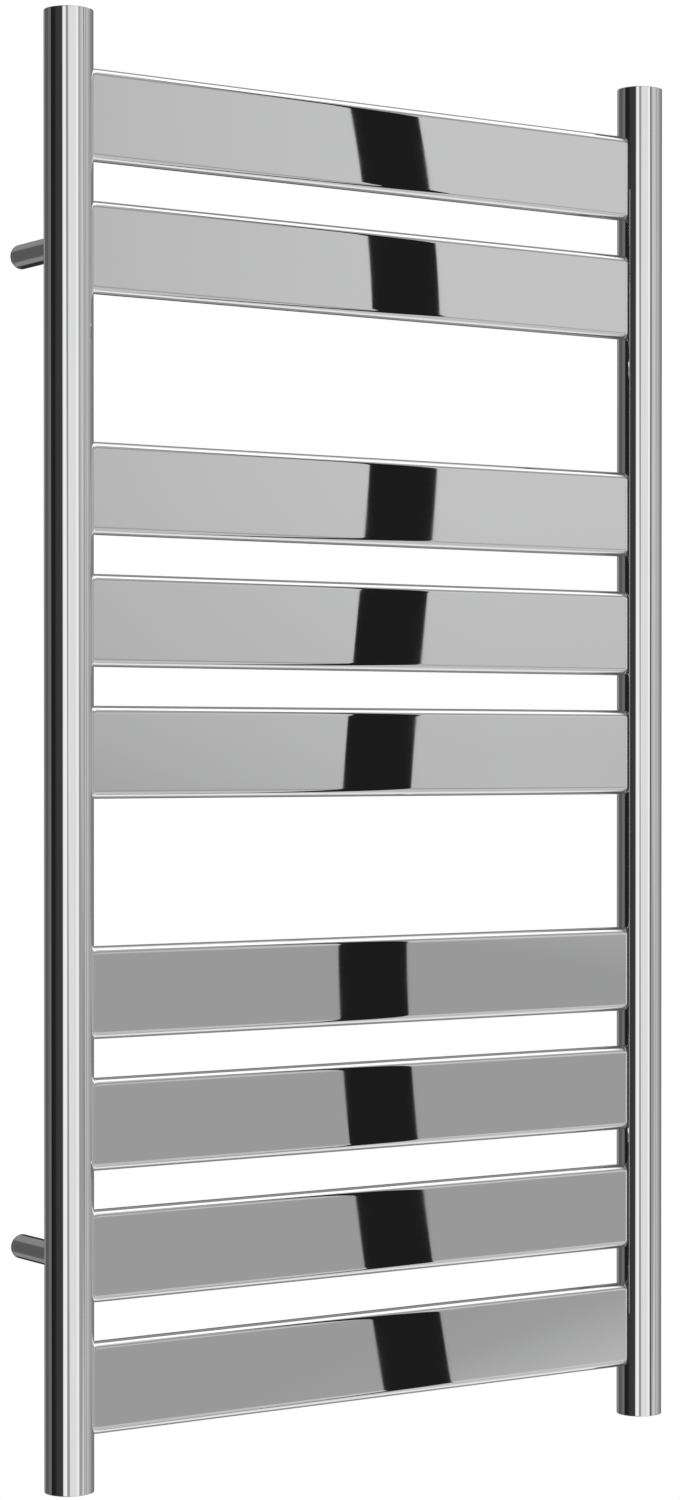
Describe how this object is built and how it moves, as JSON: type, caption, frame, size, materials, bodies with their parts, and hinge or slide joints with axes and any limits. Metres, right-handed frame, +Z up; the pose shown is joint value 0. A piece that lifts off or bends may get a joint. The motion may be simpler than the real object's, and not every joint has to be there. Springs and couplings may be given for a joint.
{
  "type": "towel warmer rack",
  "caption": "Wall-hung towel warmer: upright round collector tubes joined by level flat rails with rounded edges, in three groups, on short round wall brackets.",
  "frame": {"origin": "on the wall plane, midway between the four wall feet", "axes": "+Z up along the collectors, +Y into the wall, +X to the right as the rack is seen from the room"},
  "size_m": [0.5, 0.08, 0.95],
  "materials": {
    "polished_chrome": "mirror-polished chrome plating on steel",
    "plated_steel": "zinc-plated turned steel, satin",
    "turned_brass": "bare turned brass",
    "seal_rubber": "matt black rubber"
  },
  "bodies": {
    "rack": {"collector_left": "polished_chrome", "collector_right": "polished_chrome", "rail_1": "polished_chrome", "rail_2": "polished_chrome", "rail_3": "polished_chrome", "rail_4": "polished_chrome", "rail_5": "polished_chrome", "rail_6": "polished_chrome", "rail_7": "polished_chrome", "rail_8": "polished_chrome", "rail_9": "polished_chrome", "inlet_boss_left": "turned_brass", "inlet_boss_right": "turned_brass", "top_boss_left": "turned_brass", "top_boss_right": "turned_brass", "vent_plug": "polished_chrome", "blanking_plug": "polished_chrome", "plug_seal_left": "seal_rubber", "plug_seal_right": "seal_rubber", "bracket_sleeve_upper_left": "polished_chrome", "bracket_sleeve_upper_right": "polished_chrome", "bracket_sleeve_lower_left": "polished_chrome", "bracket_sleeve_lower_right": "polished_chrome"},
    "wall_post_upper_left": {"wall_post_upper_left": "polished_chrome"},
    "wall_post_upper_right": {"wall_post_upper_right": "polished_chrome"},
    "wall_post_lower_left": {"wall_post_lower_left": "polished_chrome"},
    "wall_post_lower_right": {"wall_post_lower_right": "polished_chrome"},
    "grub_screw_upper_left": {"grub_screw_upper_left": "plated_steel"},
    "grub_screw_upper_right": {"grub_screw_upper_right": "plated_steel"},
    "grub_screw_lower_left": {"grub_screw_lower_left": "plated_steel"},
    "grub_screw_lower_right": {"grub_screw_lower_right": "plated_steel"},
    "bleed_screw": {"bleed_screw": "turned_brass"}
  },
  "joints": [
    {"name": "wall_post_upper_left_slide", "type": "slide", "parent": "rack", "child": "wall_post_upper_left", "axis": [0, 1, 0], "range_m": [0, 0.012]},
    {"name": "wall_post_upper_right_slide", "type": "slide", "parent": "rack", "child": "wall_post_upper_right", "axis": [0, 1, 0], "range_m": [0, 0.012]},
    {"name": "wall_post_lower_left_slide", "type": "slide", "parent": "rack", "child": "wall_post_lower_left", "axis": [0, 1, 0], "range_m": [0, 0.012]},
    {"name": "wall_post_lower_right_slide", "type": "slide", "parent": "rack", "child": "wall_post_lower_right", "axis": [0, 1, 0], "range_m": [0, 0.012]},
    {"name": "grub_screw_upper_left_turn", "type": "hinge", "parent": "rack", "child": "grub_screw_upper_left", "pos_m": [-0.22625, -0.011, 0.325], "axis": [1, 0, 0], "range_deg": [0, 720]},
    {"name": "grub_screw_upper_right_turn", "type": "hinge", "parent": "rack", "child": "grub_screw_upper_right", "pos_m": [0.22625, -0.011, 0.325], "axis": [-1, 0, 0], "range_deg": [0, 720]},
    {"name": "grub_screw_lower_left_turn", "type": "hinge", "parent": "rack", "child": "grub_screw_lower_left", "pos_m": [-0.22625, -0.011, -0.325], "axis": [1, 0, 0], "range_deg": [0, 720]},
    {"name": "grub_screw_lower_right_turn", "type": "hinge", "parent": "rack", "child": "grub_screw_lower_right", "pos_m": [0.22625, -0.011, -0.325], "axis": [-1, 0, 0], "range_deg": [0, 720]},
    {"name": "bleed_screw_turn", "type": "hinge", "parent": "rack", "child": "bleed_screw", "pos_m": [-0.234, -0.064, 0.47], "axis": [0, 0, 1], "range_deg": [0, 360]}
  ]
}
